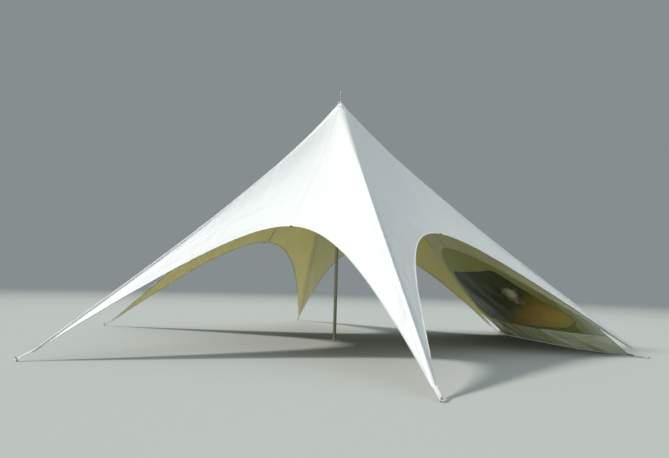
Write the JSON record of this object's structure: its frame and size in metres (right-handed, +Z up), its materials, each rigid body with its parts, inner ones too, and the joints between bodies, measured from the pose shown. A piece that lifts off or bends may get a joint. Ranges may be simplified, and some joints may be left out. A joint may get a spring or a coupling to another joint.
{
  "type": "star-shaped pole tent",
  "caption": "Star-shaped pole tent: a peaked cloth canopy drawn down to pegged arm tips, with arched open sides and a clear-windowed sidewall.",
  "frame": {"origin": "on the ground under the centre pole, at the base plate's underside", "axes": "+Z up the pole, -Y along arm A, +X to the walled side"},
  "size_m": [11.5679, 13.1006, 5.89],
  "materials": {
    "canopy_cloth": "matt coated woven cloth",
    "webbing": "woven webbing",
    "wall_cloth": "matt coated woven cloth",
    "clear_sheet": "clear flexible sheet",
    "pole_aluminium": "satin",
    "stake_steel": "worn zinc"
  },
  "bodies": {
    "root": {"canopy_panel_a_b": "canopy_cloth", "arch_hem_a_b": "webbing", "ridge_strap_a": "webbing", "canopy_panel_b_c": "canopy_cloth", "arch_hem_b_c": "webbing", "ridge_strap_b": "webbing", "canopy_panel_c_d": "canopy_cloth", "arch_hem_c_d": "webbing", "ridge_strap_c": "webbing", "canopy_panel_d_e": "canopy_cloth", "arch_hem_d_e": "webbing", "ridge_strap_d": "webbing", "canopy_panel_e_f": "canopy_cloth", "arch_hem_e_f": "webbing", "ridge_strap_e": "webbing", "canopy_panel_f_a": "canopy_cloth", "arch_hem_f_a": "webbing", "ridge_strap_f": "webbing", "arm_a_tip_tab": "webbing", "arm_a_stake": "stake_steel", "arm_b_tip_tab": "webbing", "arm_b_stake": "stake_steel", "arm_c_tip_tab": "webbing", "arm_c_stake": "stake_steel", "arm_d_tip_tab": "webbing", "arm_d_stake": "stake_steel", "arm_e_tip_tab": "webbing", "arm_e_stake": "stake_steel", "arm_f_tip_tab": "webbing", "arm_f_stake": "stake_steel", "pole_base_plate": "pole_aluminium", "pole_base_collar": "pole_aluminium", "pole_lower_section": "pole_aluminium", "pole_middle_section": "pole_aluminium", "pole_upper_section": "pole_aluminium", "pole_head": "pole_aluminium", "finial_pin": "pole_aluminium", "crown_cap": "canopy_cloth", "sidewall_cloth": "wall_cloth", "sidewall_window": "clear_sheet", "sidewall_skirt": "wall_cloth", "sidewall_corner_tab_e": "webbing", "sidewall_corner_tab_f": "webbing", "sidewall_peg_e": "stake_steel", "sidewall_peg_f": "stake_steel"}
  },
  "joints": []
}
